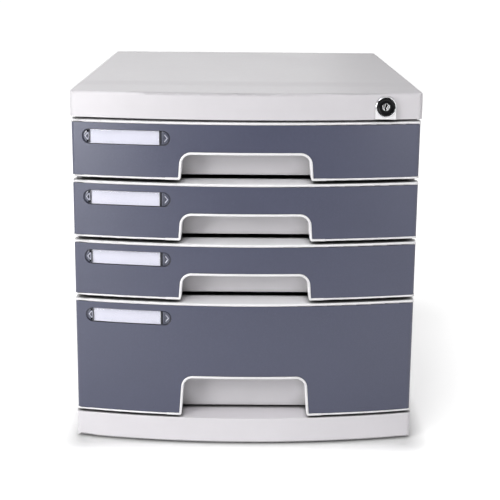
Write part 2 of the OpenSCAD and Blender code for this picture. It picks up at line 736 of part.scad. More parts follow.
// The light moulding behind the panel: ledge, lower trim, ends, notch tunnel, ribs and screw bosses
module front_frame(k) color("whitesmoke") {
  z0 = front_z(k);
  z1 = front_top(k);
  mid_z = [z0 + bottom_trim / 2, z1 - top_trim / 2];
  front = -back_y - eps;
  difference() {
    intersection() {
      along_y(front, wall_y) front_view(k);
      union() {
        frame_plate(z1 - top_trim, z1);
        frame_plate(z0, z0 + bottom_trim);
        bowed_wall(frame_in, frame_in + frame_t, mid_z[0], mid_z[1], wall_y);
        difference() {
          bowed_wall(reveal, frame_in + frame_t, mid_z[0], mid_z[1], wall_y);
          block([-half_w, half_w], [front, corner_y + panel_wrap + frame_gap], [z0, z1]);
        }
        intersection() {
          upright(z0, z1) plan(reveal);
          along_y(front, wall_y) notch_view(k, notch_trim);
        }
        intersection() {
          upright(mid_z[0], mid_z[1]) difference() {
            plan(frame_in + frame_t / 2);
            translate([-half_w, wall_y]) square([body_w, body_d]);
          }
          union() {
            for (s = [-1, 1], x = front_ribs) block([s * x - rib_t / 2, s * x + rib_t / 2], [front, wall_y], [z0, z1]);
            for (s = [-1, 1], x = screw_x, z = screw_zs(k)) along_y(front, wall_y) translate([s * x, z]) circle(boss_r);
          }
        }
      }
    }
    along_y(front, wall_y + eps) {
      notch_view(k, 0);
      notch_flare(k);
    }
    // room for the panel's label pocket
    intersection() {
      along_y(front, wall_y) label_view(k, label_rim + 1);
      upright(z0, z1) difference() {
        plan(0);
        plan(frame_in + frame_t + 0.1);
      }
    }
    for (s = [-1, 1], x = screw_x, z = screw_zs(k))
      along_y(wall_y - screw_len - 0.5, wall_y + eps) translate([s * x, z]) circle(pilot_r);
  }
}

// The dark panel: wraps round both ends, with the notch cut out and the label's pocket moulded in
module front_panel(k) color("slategray") {
  z0 = front_z(k) + bottom_trim;
  z1 = front_top(k) - top_trim;
  pocket = panel_in + label_depth;
  difference() {
    bowed_wall(panel_in, panel_in + panel_t, z0, z1, corner_y + panel_wrap);
    along_y(-back_y, wall_y) notch_view(k, notch_trim + frame_gap);
    along_y(-back_y, corner_y) label_view(k, 0);
  }
  intersection() {
    bowed_wall(pocket, pocket + label_floor, z0, z1, corner_y + panel_wrap);
    along_y(-back_y, corner_y + panel_wrap) label_view(k, label_rim);
  }
}

module label_card(k) color("white") intersection() {
  back = panel_in + label_depth - 0.05;
  bowed_wall(back - card_t, back, front_z(k), front_top(k), corner_y);
  along_y(-back_y, corner_y) translate([label_x + card_shift, label_z(k)]) square([card_w, card_h], center = true);
}

// The clear window over the card, thicker at its ends, with grip ribs and an arrow at each end
module label_window(k) color("lightblue", 0.4) {
  z = [front_z(k), front_top(k)];
  outer = panel_in + window_gap;
  card_x = [label_x + card_shift - card_w / 2 - 0.5, label_x + card_shift + card_w / 2 + 0.5];
  intersection() {
    along_y(-back_y, corner_y) label_view(k, -0.3);
    union() {
      bowed_wall(outer, outer + window_t, z[0], z[1], corner_y);
      difference() {
        bowed_wall(outer, panel_in + label_depth - 0.05, z[0], z[1], corner_y);
        block(card_x, [-back_y, corner_y], z);
      }
      intersection() {
        bowed_wall(panel_in + 0.05, outer + window_t, z[0], z[1], corner_y);
        along_y(-back_y, corner_y) {
          for (x = grip_x) translate([card_x[1] + x, label_z(k) - label_h / 2]) square([grip_t, label_h]);
          for (s = [-1, 1]) translate([label_x + s * (label_len / 2 - arrow_inset), label_z(k)])
            polygon([[0, -arrow_size[1]], [s * arrow_size[0], 0], [0, arrow_size[1]]]);
        }
      }
    }
  }
}

// The screws that hold the front to the tray, put in from inside the drawer
module front_screws(k) color("silver") for (s = [-1, 1], x = screw_x, z = screw_zs(k))
  translate([s * x, wall_y + wall_t, z]) rotate([-90, 0, 0]) screw(wall_t + screw_len, head_r);

plinth();
feet();
left_side();
right_side();
back_panel();
top_cover();
base_screws();
lock_seat();
lock_ring();
lock_barrel();
lock_nut();
lock_plug();
lock_cam();
lock_bar();
drawer_tray(0);  // top_drawer_tray
front_frame(0);  // top_drawer_frame
front_panel(0);  // top_drawer_panel
label_card(0);  // top_drawer_card
label_window(0);  // top_drawer_window
front_screws(0);  // top_drawer_screws
drawer_tray(1);  // second_drawer_tray
front_frame(1);  // second_drawer_frame
front_panel(1);  // second_drawer_panel
label_card(1);  // second_drawer_card
label_window(1);  // second_drawer_window
front_screws(1);  // second_drawer_screws
drawer_tray(2);  // third_drawer_tray
front_frame(2);  // third_drawer_frame
front_panel(2);  // third_drawer_panel
label_card(2);  // third_drawer_card
label_window(2);  // third_drawer_window
front_screws(2);  // third_drawer_screws
drawer_tray(3);  // deep_drawer_tray
front_frame(3);  // deep_drawer_frame
front_panel(3);  // deep_drawer_panel
label_card(3);  // deep_drawer_card
label_window(3);  // deep_drawer_window
front_screws(3);  // deep_drawer_screws
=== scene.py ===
"""Looks of the desktop file drawer: materials, rounded mouldings, light and camera.

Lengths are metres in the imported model's frame: X to the right, Y to the back, Z up.
"""
import json
import math

import bpy
import numpy as np
from mathutils import Matrix, Vector


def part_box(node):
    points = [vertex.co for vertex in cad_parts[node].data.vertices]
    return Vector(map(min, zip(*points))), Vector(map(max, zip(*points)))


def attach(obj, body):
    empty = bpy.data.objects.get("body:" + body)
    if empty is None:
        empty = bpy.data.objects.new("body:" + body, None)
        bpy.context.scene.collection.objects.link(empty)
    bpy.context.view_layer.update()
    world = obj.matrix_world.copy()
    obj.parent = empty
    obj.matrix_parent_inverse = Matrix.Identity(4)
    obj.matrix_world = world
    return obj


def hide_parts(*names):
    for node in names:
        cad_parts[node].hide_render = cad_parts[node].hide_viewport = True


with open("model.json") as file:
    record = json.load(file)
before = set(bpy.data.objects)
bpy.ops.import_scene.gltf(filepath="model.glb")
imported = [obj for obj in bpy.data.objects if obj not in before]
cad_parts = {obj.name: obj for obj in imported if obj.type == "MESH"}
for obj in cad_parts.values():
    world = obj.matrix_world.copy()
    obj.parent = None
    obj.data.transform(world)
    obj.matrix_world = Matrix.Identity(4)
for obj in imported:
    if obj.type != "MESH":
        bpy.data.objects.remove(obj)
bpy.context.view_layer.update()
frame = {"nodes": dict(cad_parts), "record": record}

NODES = frame["nodes"]
BODY = {n: b for b, ns in frame["record"]["behaviour"]["bodies"].items() for n in ns}
SLOT = {s["node"]: s["material_slot"] for s in frame["record"]["subparts"]}


# ---------- shader helpers ----------

def new_material(name):
    """A material with an empty node tree."""
    mat = bpy.data.materials.new(name)
    mat.use_nodes = True
    tree = mat.node_tree
    tree.nodes.clear()
    return mat, tree


def add(tree, kind, **props):
    """A node with its properties set, and its sockets set where a key starts with 'in_'."""
    node = tree.nodes.new(kind)
    for key, value in props.items():
        if key.startswith("in_"):
            node.inputs[key[3:].replace("_", " ")].default_value = value
        else:
            setattr(node, key, value)
    return node


def feed(tree, value, socket):
    """Links a value to the socket, or sets the socket where the value is a number or a colour."""
    if isinstance(value, bpy.types.NodeSocket):
        tree.links.new(value, socket)
    else:
        socket.default_value = value


def compute(tree, operation, *values, clamp=False):
    """A math node over sockets and numbers."""
    node = add(tree, "ShaderNodeMath", operation=operation, use_clamp=clamp)
    for value, socket in zip(values, node.inputs):
        feed(tree, value, socket)
    return node.outputs[0]


def mix_colour(tree, factor, a, b, mode="MIX"):
    """Mixes two colours. A Mix node's colours are its inputs 6 and 7 and its output 2."""
    node = add(tree, "ShaderNodeMix", data_type="RGBA", blend_type=mode)
    for key, value in ((0, factor), (6, a), (7, b)):
        feed(tree, value, node.inputs[key])
    return node.outputs[2]


def mix_shader(tree, factor, a, b):
    """Shader a where the factor is 0 and shader b where it is 1."""
    node = add(tree, "ShaderNodeMixShader")
    for value, socket in zip((factor, a, b), node.inputs):
        tree.links.new(value, socket)
    return node.outputs[0]


def noise(tree, coords, scale, detail=3.0, stretch=(1, 1, 1)):
    """Noise over the object's own coordinates, in cells per metre."""
    mapping = add(tree, "ShaderNodeMapping")
    mapping.inputs["Scale"].default_value = stretch
    tree.links.new(coords, mapping.inputs["Vector"])
    tex = add(tree, "ShaderNodeTexNoise", in_Scale=scale, in_Detail=detail, in_Roughness=0.55)
    tree.links.new(mapping.outputs["Vector"], tex.inputs["Vector"])
    return tex.outputs["Fac"]


def span(tree, source, low, high, at=(0.3, 0.7)):
    """Maps the values of a pattern from the range `at` to low..high."""
    node = add(tree, "ShaderNodeMapRange")
    node.inputs["From Min"].default_value = at[0]
    node.inputs["From Max"].default_value = at[1]
    node.inputs["To Min"].default_value = low
    node.inputs["To Max"].default_value = high
    tree.links.new(source, node.inputs["Value"])
    return node.outputs["Result"]


def edge_mask(tree):
    """The normal rounded over edges, and how far it leans from the true one: 1 on edges, 0 on flats."""
    bevel = add(tree, "ShaderNodeBevel", samples=6, in_Radius=EDGE_ROUND)
    geometry = add(tree, "ShaderNodeNewGeometry")
    dot = add(tree, "ShaderNodeVectorMath", operation="DOT_PRODUCT")
    tree.links.new(bevel.outputs["Normal"], dot.inputs[0])
    tree.links.new(geometry.outputs["Normal"], dot.inputs[1])
    return bevel.outputs["Normal"], span(tree, dot.outputs["Value"], 1.0, 0.0, (0.72, 0.985))


def grain_normal(tree, height, normal, strength):
    """The normal with a fine grain added, from a height pattern."""
    relief = add(tree, "ShaderNodeBump", in_Strength=strength, in_Distance=GRAIN_DEPTH)
    tree.links.new(height, relief.inputs["Height"])
    tree.links.new(normal, relief.inputs["Normal"])
    return relief.outputs["Normal"]


def srgb(r, g, b):
    """Linear colour of an 8-bit sRGB colour."""
    return [(c / 255 / 12.92 if c <= 10 else ((c / 255 + 0.055) / 1.055) ** 2.4) for c in (r, g, b)]


def shade(colour, factor, lift=0.0):
    """A linear colour times a factor, plus a lift, as RGBA."""
    return (*[min(1.0, c * factor + lift) for c in colour], 1.0)


# ---------- materials ----------

EDGE_ROUND = 0.0003       # edges are shaded as rounded by this radius
GRAIN_DEPTH = 0.0002      # the grain's height at full strength
TONE = 0.03               # the colour drifts by this share
BLOTCHES = 22.0           # cells per metre of the drift in colour and roughness
PATCHES = 0.11            # patches of edge tint (wear on most finishes, a painted highlight on the label windows) have this share of the grain's cells per metre
ROUGH_DRIFT = 0.06        # the roughness drifts by this share
SMUDGE = 0.03             # and by this much more from patch to patch
FLAKE_CELLS = 2600.0      # metal flakes per metre


def surface(name, colour, rough, metallic=0.0, specular=0.5, grain=1500.0, bump=0.05, edge_tint_share=0.06,
            edge_tint_colour=None, flakes=0.0, brushed=(1, 1, 1), crevice_shade=None):
    """One moulded, metal or paper finish.

    colour is linear. The tone drifts over centimetres, the roughness over both scales, a fine grain of
    `grain` cells per metre bumps the surface, and edges are rounded and tinted in patches towards a lighter
    colour: wear on most finishes, a painted highlight on the label window's grips and arrows.
    A (reach, share) pair as the last argument paints shade into gaps and corners narrower than `reach`
    metres, where only that share of the colour is left.
    """
    mat, tree = new_material(name)
    coords = add(tree, "ShaderNodeTexCoord").outputs["Object"]
    out = add(tree, "ShaderNodeOutputMaterial")
    bsdf = add(tree, "ShaderNodeBsdfPrincipled", in_Metallic=metallic, in_Specular_IOR_Level=specular)
    tree.links.new(bsdf.outputs["BSDF"], out.inputs["Surface"])
    large = noise(tree, coords, BLOTCHES, 4.0)
    fine = noise(tree, coords, grain, 2.0, brushed)
    mid = noise(tree, coords, grain * PATCHES, 3.0)
    tint = mix_colour(tree, span(tree, large, 0.0, 1.0), shade(colour, 1 - TONE), shade(colour, 1 + TONE))
    tint = mix_colour(tree, span(tree, fine, 0.0, 0.5), tint, (*colour, 1.0))
    if flakes:
        cells = add(tree, "ShaderNodeTexVoronoi", in_Scale=FLAKE_CELLS)
        tree.links.new(coords, cells.inputs["Vector"])
        sparkle = span(tree, cells.outputs["Color"], 0.0, 1.0, (0.55, 0.95))
        tint = mix_colour(tree, sparkle, tint, shade(colour, 1 + flakes))
    normal, mask = edge_mask(tree)
    # edges lighten in patches: wear on most finishes, a painted highlight on the label windows
    edge_tint = (*edge_tint_colour, 1.0) if edge_tint_colour else shade(colour, 1.12, 0.02)
    patches = span(tree, mid, 0.2 * edge_tint_share, 1.6 * edge_tint_share, (0.35, 0.65))
    tint = mix_colour(tree, compute(tree, "MULTIPLY", mask, patches, clamp=True), tint, edge_tint)
    # painted shade: ambient occlusion darkens the colour in narrow gaps and corners
    if crevice_shade:
        reach, share = crevice_shade
        closed_in = add(tree, "ShaderNodeAmbientOcclusion", samples=8, in_Distance=reach)
        tree.links.new(normal, closed_in.inputs["Normal"])
        painted_shade = span(tree, closed_in.outputs["AO"], 1.0, 0.0, (0.15, 0.75))
        tint = mix_colour(tree, painted_shade, tint, (share, share, share * 0.97, 1.0), "MULTIPLY")
    tree.links.new(tint, bsdf.inputs["Base Color"])
    drift = span(tree, large, rough * (1 - ROUGH_DRIFT), rough * (1 + ROUGH_DRIFT))
    smudges = span(tree, mid, -SMUDGE, SMUDGE)
    tree.links.new(compute(tree, "ADD", drift, smudges, clamp=True), bsdf.inputs["Roughness"])
    tree.links.new(grain_normal(tree, fine, normal, bump), bsdf.inputs["Normal"])
    return mat


def clear_window(name):
    """A thin clear moulding: mostly see-through, with a gloss that grows towards grazing views."""
    mat, tree = new_material(name)
    coords = add(tree, "ShaderNodeTexCoord").outputs["Object"]
    out = add(tree, "ShaderNodeOutputMaterial")
    clear = add(tree, "ShaderNodeBsdfTransparent")
    gloss = add(tree, "ShaderNodeBsdfGlossy")
    haze = add(tree, "ShaderNodeBsdfDiffuse", in_Color=(0.8, 0.82, 0.86, 1))
    clouds = span(tree, noise(tree, coords, 300.0), 0.0, 1.0)
    tint = mix_colour(tree, clouds, (0.985, 0.988, 0.99, 1), (0.995, 0.997, 1.0, 1))
    tree.links.new(tint, clear.inputs["Color"])
    tree.links.new(span(tree, noise(tree, coords, 900.0), 0.05, 0.12), gloss.inputs["Roughness"])
    normal, mask = edge_mask(tree)
    grain = grain_normal(tree, noise(tree, coords, 1200.0), normal, 0.03)
    tree.links.new(grain, gloss.inputs["Normal"])
    fresnel = add(tree, "ShaderNodeFresnel", in_IOR=1.46).outputs[0]
    # only the outer side of each wall reflects
    backfacing = add(tree, "ShaderNodeNewGeometry").outputs["Backfacing"]
    outside = compute(tree, "SUBTRACT", 1.0, backfacing)
    share = compute(tree, "MULTIPLY", fresnel, outside)
    wall = mix_shader(tree, share, clear.outputs[0], gloss.outputs[0])
    edges = mix_shader(tree, span(tree, mask, 0.01, 0.35, (0.0, 1.0)), wall, haze.outputs[0])
    tree.links.new(edges, out.inputs["Surface"])
    return mat


FINISHES = {
    # the (reach, share) pairs below paint shade into narrow gaps and corners
    "shell_plastic": dict(colour=srgb(227, 224, 228), rough=0.42, bump=0.06, crevice_shade=(0.007, 0.04)),
    "side_plastic": dict(colour=srgb(214, 211, 214), rough=0.46, bump=0.08),
    "back_plastic": dict(colour=srgb(196, 193, 196), rough=0.55, bump=0.10),
    "cover_plastic": dict(colour=srgb(216, 213, 217), rough=0.42, bump=0.05, crevice_shade=(0.007, 0.04)),
    "trim_plastic": dict(colour=srgb(247, 246, 248), rough=0.32, bump=0.03, crevice_shade=(0.010, 0.04)),
    "panel_plastic": dict(colour=srgb(69, 72, 94), rough=0.36, specular=0.6, bump=0.04, flakes=0.25,
                          edge_tint_share=0.1, crevice_shade=(0.0025, 0.15)),
    "tray_plastic": dict(colour=srgb(206, 204, 207), rough=0.45, bump=0.06, crevice_shade=(0.016, 0.45)),
    "label_paper": dict(colour=srgb(233, 232, 245), rough=0.85, specular=0.2, grain=3000.0, bump=0.12),
    "foot_rubber": dict(colour=srgb(34, 34, 34), rough=0.8, bump=0.15),
    "lock_black": dict(colour=srgb(5, 5, 8), rough=0.2, specular=0.25, bump=0.02,
                       edge_tint_colour=[0.08, 0.08, 0.09]),
    "lock_chrome": dict(colour=[0.72, 0.72, 0.74], rough=0.14, metallic=1.0, bump=0.02,
                        edge_tint_colour=[0.85, 0.85, 0.86]),
    "zinc_steel": dict(colour=[0.55, 0.55, 0.54], rough=0.32, metallic=1.0, bump=0.06,
                       brushed=(1, 1, 0.06)),
    # the ends of the label windows are seen against the dark panel, so the clear moulding reads as slate;
    # the light colour of its edges and ribs is a painted highlight
    "window_grip": dict(colour=srgb(82, 85, 102), rough=0.22, specular=0.7, bump=0.03, flakes=0.2,
                        edge_tint_share=0.5, edge_tint_colour=srgb(190, 192, 205)),
    # the arrows are the grips' clear moulding, coloured light as a painted glint
    "window_arrow_glint": dict(colour=srgb(190, 192, 208), rough=0.2, specular=0.8, bump=0.03, edge_tint_share=0.4,
                        edge_tint_colour=srgb(205, 207, 220)),
    # a dark block that paints the shadow in the gap right of the label card
    "window_gap_shadow": dict(colour=srgb(30, 31, 40), rough=0.4, specular=0.3, bump=0.04, edge_tint_share=0.2),
}
MATERIALS = {name: surface(name, **finish) for name, finish in FINISHES.items()}
MATERIALS["window_plastic"] = clear_window("window_plastic")


def dress_nodes():
    """Gives each CAD node the finish of its material slot."""
    for name, obj in NODES.items():
        obj.data.materials.clear()
        obj.data.materials.append(MATERIALS[SLOT[name]])


# ---------- meshes ----------

FRONT_R, AXIS_Y = 0.711125, 0.527125      # radius and centre of the cabinet's bowed outline
# each drawer front's foot and height, and the height of its finger notch
FRONTS = {"top": (0.240, 0.050, 0.022), "second": (0.187, 0.050, 0.022),
          "third": (0.134, 0.050, 0.022), "deep": (0.027, 0.104, 0.035)}


def on_front(x, z, inset):
    """Points on the bowed front: y = centre - sqrt((radius - inset)^2 - x^2), so inset 0 is the outline."""
    y = AXIS_Y - np.sqrt((FRONT_R - inset) ** 2 - x * x)
    return np.stack(np.broadcast_arrays(x, y, z), -1)


def sheet_faces(rows, cols, wrap_rows=False, wrap_cols=False):
    """Quads of a grid of rows x cols points, wrapped round where asked."""
    i = np.arange(rows if wrap_rows else rows - 1)[:, None]
    j = np.arange(cols if wrap_cols else cols - 1)[None, :]
    down, right = (i + 1) % rows, (j + 1) % cols
    corners = [i * cols + j, i * cols + right, down * cols + right, down * cols + j]
    return np.stack(corners, -1).reshape(-1, 4).tolist()


def outwards(points, faces):
    """The faces, turned round if the closed surface's volume, a sum of p0 . (p1 x p2) / 6, is negative."""
    fans = np.array([(f[0], f[i], f[i + 1]) for f in faces for i in range(1, len(f) - 1)])
    p = points - points.mean(0)
    volume = np.einsum("ij,ij->", p[fans[:, 0]], np.cross(p[fans[:, 1]], p[fans[:, 2]]))
    return faces if volume > 0 else [f[::-1] for f in faces]


def build(name, parts, material, node, replaces=False):
    """One smooth mesh from closed (points, faces) parts. It rides with the node's body."""
    points, faces, start = [], [], 0
    for part_points, part_faces in parts:
        part_points = part_points.reshape(-1, 3)
        points.append(part_points)
        faces += [[start + v for v in face] for face in outwards(part_points, part_faces)]
        start += len(part_points)
    mesh = bpy.data.meshes.new(name)
    mesh.from_pydata(np.concatenate(points).tolist(), [], faces)
    mesh.polygons.foreach_set("use_smooth", np.ones(len(faces), bool))
    mesh.materials.append(MATERIALS[material])
    obj = bpy.data.objects.new(name, mesh)
    bpy.context.scene.collection.objects.link(obj)
    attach(obj, BODY[node])
    if replaces:
        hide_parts(node)
    return obj


RIDGE_POINTS = 14         # points round a ridge's section
RIDGE_SINK = 0.0004       # a ridge reaches this far into the face it stands on


def ridge(x, z, half, base, rise):
    """A rounded ridge along a path of points (x, z) on the bowed front.

    Its section is an ellipse turned by an angle a: it reaches half * cos(a) across the path and stands
    rise * sin(a) out of the inset `base`, or sinks RIDGE_SINK * sin(a) into it. The ends shrink as a
    quarter circle over `half`, so they are round.
    """
    along_x, along_z = np.gradient(x), np.gradient(z)
    size = np.hypot(along_x, along_z)
    along_x, along_z = (along_x / size)[:, None], (along_z / size)[:, None]
    run = np.concatenate([[0.0], np.cumsum(np.hypot(np.diff(x), np.diff(z)))])
    near = np.clip(np.minimum(run, run[-1] - run) / half, 0.02, 1)
    shrink = np.sqrt(1 - (1 - near) ** 2)[:, None]
    a = np.linspace(0, 2 * np.pi, RIDGE_POINTS, endpoint=False)[None, :]
    across = half * np.cos(a) * shrink
    out = np.where(np.sin(a) > 0, rise, RIDGE_SINK) * np.sin(a) * shrink
    points = on_front(x[:, None] + along_z * across, z[:, None] - along_x * across, base - out)
    last = (len(x) - 1) * RIDGE_POINTS
    ends = [list(range(RIDGE_POINTS))[::-1], list(range(last, last + RIDGE_POINTS))]
    return points, sheet_faces(len(x), RIDGE_POINTS, wrap_cols=True) + ends


CORNER_POINTS = 9         # points of a block's corner arc
TOP_POINTS = 24           # points between the arcs of a block's top line
LEAST_RADIUS = 2e-5       # keeps the points of a sharp corner apart


def half_ring(x0, x1, high, r0, r1, cut):
    """Upper half of a block's outline from its right end to its left one, cut inwards all round.

    A line, an arc of radius r1, a line, an arc of radius r0 and a line; the lower half is its mirror.
    """
    x0, x1, high = x0 + cut, x1 - cut, high - cut
    r0, r1 = max(r0 - cut, LEAST_RADIUS), max(r1 - cut, LEAST_RADIUS)
    turn = np.linspace(0, np.pi / 2, CORNER_POINTS)
    up = np.array([0.0, 0.5])
    x = np.concatenate([x1 + 0 * up, x1 - r1 + r1 * np.cos(turn),
                        np.linspace(x1 - r1, x0 + r0, TOP_POINTS + 2)[1:-1],
                        x0 + r0 - r0 * np.sin(turn), x0 + 0 * up])
    z = np.concatenate([up * (high - r1), high - r1 + r1 * np.sin(turn), np.full(TOP_POINTS, high),
                        high - r0 + r0 * np.cos(turn), up[::-1] * (high - r0)])
    return x, z


def block(z_mid, x0, x1, high, r0, r1, rows):
    """A low block on the front, from (cut, inset) rows of its outline, its faces closed by strips.

    Each strip joins a point of the upper half of the outline to its mirror in the lower half.
    """
    rings = []
    for cut, inset in rows:
        x, z = half_ring(x0, x1, high, r0, r1, cut)
        whole_x = np.concatenate([x, x[-2:0:-1]])
        whole_z = z_mid + np.concatenate([z, -z[-2:0:-1]])
        rings.append(on_front(whole_x, whole_z, inset))
    count, half = len(rings[0]), len(rings[0]) // 2
    faces = sheet_faces(len(rings), count, wrap_cols=True)
    i = np.arange(half)
    strip = np.stack([i, i + 1, (count - i - 1) % count, (count - i) % count], -1)
    first, last = strip[:, ::-1].tolist(), (strip + (len(rings) - 1) * count).tolist()
    ends = [list(dict.fromkeys(face)) for face in first + last]
    return np.stack(rings), faces + ends


LATHE_POINTS = 96         # points round a turned piece


def lathe(profile, axis_x, axis_z):
    """A closed profile of (radius, y) points turned round the lock's axis.

    x = axis_x + r cos(a) and z = axis_z + r sin(a).
    """
    a = np.linspace(0, 2 * np.pi, LATHE_POINTS, endpoint=False)[:, None]
    r, y = (np.array(v)[None, :] for v in zip(*profile))
    points = np.stack(np.broadcast_arrays(axis_x + r * np.cos(a), y, axis_z + r * np.sin(a)), -1)
    return points, sheet_faces(LATHE_POINTS, len(profile), wrap_rows=True, wrap_cols=True)


def arc(cr, cy, r, start, end, count):
    """Points (radius, y) of a fillet: centre (cr, cy), turned from start to end degrees, 0 is outwards."""
    a = np.radians(np.linspace(start, end, count))
    return list(zip((cr + r * np.cos(a)).tolist(), (cy + r * np.sin(a)).tolist()))


# ---------- trim of the finger notches ----------

NOTCH_LEAN = math.radians(4)              # draft of the notch's sides
NOTCH_HALF, NOTCH_CORNER = 0.0555, 0.0085     # half width at the foot, and radius of the corners
TRIM_OUT = 0.001                          # the trim's middle line runs this far outside the notch
FOOT_LONG, FOOT_UP, FOOT_BEND = 0.012, 0.001, 0.001       # its feet: length, height and bend
TRIM_HALF, TRIM_INSET, TRIM_RISE = 0.00104, 0.00095, 0.00062      # its section


def notch_path(drawer):
    """Middle line of the trim round a finger notch.

    A foot, its bend, the drafted side, the corner's arc and half the top, and the mirror of them all.
    """
    foot, _, notch_high = FRONTS[drawer]
    r, high, half = NOTCH_CORNER + TRIM_OUT, notch_high + TRIM_OUT, NOTCH_HALF + TRIM_OUT
    bend_z = FOOT_UP + FOOT_BEND
    corner_z = high - r
    corner_x = half - math.tan(NOTCH_LEAN) * corner_z - r / math.cos(NOTCH_LEAN)
    turn = np.linspace(NOTCH_LEAN, np.pi / 2, 24)
    foot_turn = np.linspace(-np.pi / 2, -np.pi, 8)
    foot_run = np.linspace(FOOT_LONG, 0, 14)[:-1]
    side_z = np.linspace(bend_z, corner_z + r * math.sin(NOTCH_LEAN), 16)[1:-1]
    top_x = np.linspace(corner_x, 0, 24)[1:]
    x = np.concatenate([half + FOOT_BEND + foot_run, half + FOOT_BEND + FOOT_BEND * np.cos(foot_turn),
                        half - math.tan(NOTCH_LEAN) * side_z, corner_x + r * np.cos(turn), top_x])
    z = np.concatenate([FOOT_UP + 0 * foot_run, bend_z + FOOT_BEND * np.sin(foot_turn), side_z,
                        corner_z + r * np.sin(turn), np.full(len(top_x), high)])
    return np.concatenate([x, -x[-2::-1]]), foot + np.concatenate([z, z[-2::-1]])


def notch_trim(drawer):
    """Round trim along one finger notch."""
    x, z = notch_path(drawer)
    trim = ridge(x, z, TRIM_HALF, TRIM_INSET, TRIM_RISE)
    build(drawer + "_notch_trim", [trim], "trim_plastic", drawer + "_drawer_frame")


# ---------- label windows ----------

LABEL_X, LABEL_DROP = -0.1018, 0.0146     # middle of the label pocket, and its depth under the front's top
LABEL_HALF, LABEL_HIGH = 0.038, 0.013     # half width and height of the label pocket
END_GAP, SIDE_GAP = 0.0011, 0.0006        # room between the pocket and the window
CARD_LEFT, CARD_RIGHT = -0.1335, -0.0735  # ends of the label card
# insets: the panel's face, the faces of the pane and the grips, and the pocket's floor
PANEL_IN = 0.001
PANE_IN = PANEL_IN + 0.0006
GRIP_IN = PANEL_IN + 0.0010
FLOOR_IN = PANEL_IN + 0.00184
# (cut, inset) rows from the back to the face, with the edge rounded by the steps between
PANE_ROWS = [(0, PANE_IN + 0.0009), (0, PANE_IN + 0.0003), (0.0001, PANE_IN + 0.0001),
             (0.0003, PANE_IN), (0.0009, PANE_IN)]
GRIP_ROWS = [(0, FLOOR_IN), (0, GRIP_IN + 0.0004), (0.00012, GRIP_IN + 0.00012),
             (0.0004, GRIP_IN), (0.0012, GRIP_IN)]
SHADOW_ROWS = [(0, FLOOR_IN), (0, GRIP_IN + 0.0006), (0.0002, GRIP_IN + 0.0004), (0.0006, GRIP_IN + 0.0004)]
PANE_OVER = 0.0004                        # the pane reaches this far past the card's ends
LEFT_GRIP, RIGHT_GRIP = 0.0009, 0.0022    # from the card's ends to the grips
SHADOW_FROM, SHADOW_TO = 0.0003, 0.0023       # from the card's right end to the sides of the dark block that paints the gap's shadow
PANE_CORNER, GRIP_CORNER, SHADOW_CORNER = 0.0006, 0.0004, 0.0003
ROUND_END = 1e-5                          # a half round end's radius is this much under its half height
RIBS = (0.0031, 0.0044)                   # from the card's right end to the ribs
RIB_HALF, RIB_RISE, RIB_GAP = 0.0005, 0.0007, 0.0009            # half width, rise, gap to the grip's edge
ARROW_LONG, ARROW_HALF, ARROW_GAP = 0.0027, 0.0033, 0.0016      # length, half height, gap to the end
SLANT_HALF, SLANT_RISE = 0.00048, 0.0008  # section of an arrow's slanted lines
BACK_HALF, BACK_RISE = 0.0004, 0.0006     # section of its back line


def label_window(drawer):
    """The window of one label: a clear pane, two grips with ribs, two arrows, and a dark block that paints
    the shadow in the gap right of the card.
    """
    foot, high, _ = FRONTS[drawer]
    node = drawer + "_drawer_window"
    mid = foot + high - LABEL_DROP
    tall = LABEL_HIGH / 2 - SIDE_GAP
    left, right = LABEL_X - LABEL_HALF + END_GAP, LABEL_X + LABEL_HALF - END_GAP
    pane = block(mid, CARD_LEFT - PANE_OVER, CARD_RIGHT + PANE_OVER, tall, PANE_CORNER, PANE_CORNER,
                 PANE_ROWS)
    build(drawer + "_label_pane", [pane], "window_plastic", node, True)
    grips = [block(mid, left, CARD_LEFT - LEFT_GRIP, tall, tall - ROUND_END, GRIP_CORNER, GRIP_ROWS),
             block(mid, CARD_RIGHT + RIGHT_GRIP, right, tall, GRIP_CORNER, tall - ROUND_END, GRIP_ROWS)]
    for rib in RIBS:
        up = np.linspace(-1, 1, 16) * (tall - RIB_GAP)
        grips.append(ridge(np.full(16, CARD_RIGHT + rib), mid + up, RIB_HALF, GRIP_IN, RIB_RISE))
    arrows = []
    for side, end in ((-1, left), (1, right)):
        tip = end - side * ARROW_GAP
        slant = np.linspace(-1, 1, 23)
        arrows.append(ridge(tip - side * ARROW_LONG * np.abs(slant), mid + ARROW_HALF * slant,
                            SLANT_HALF, GRIP_IN, SLANT_RISE))
        back = np.linspace(-1, 1, 15)
        arrows.append(ridge(np.full(15, tip - side * ARROW_LONG), mid + ARROW_HALF * back,
                            BACK_HALF, GRIP_IN, BACK_RISE))
    build(drawer + "_label_grips", grips, "window_grip", node, True)
    build(drawer + "_label_arrows", arrows, "window_arrow_glint", node, True)
    # painted shadow: a dark block fills the gap right of the card
    shadow_block = block(mid, CARD_RIGHT + SHADOW_FROM, CARD_RIGHT + SHADOW_TO, tall, SHADOW_CORNER, SHADOW_CORNER,
                 SHADOW_ROWS)
    build(drawer + "_label_gap_shadow", [shadow_block], "window_gap_shadow", node, True)


# ---------- lock ----------

RING_BORE, HEAD_BORE = 0.00696, 0.00783   # the ring's holes for the barrel's body and for its head
RING_ROUND, RING_LIP = 0.0006, 0.0003     # roundings of the ring's outer and inner edge
HEAD_STEP = 0.0006        # the barrel's head starts this far in front of the seat
HEAD_R, BARREL_R = 0.0078, 0.0069         # radii of the barrel's head and body
HEAD_ROUND = 0.0007       # rounding of the head's outer edge
NOSE_BORE, PLUG_BORE = 0.00343, 0.0045    # the barrel's holes for the plug's nose and body
NOSE_LONG = 0.003         # the wide hole starts this far behind the seat


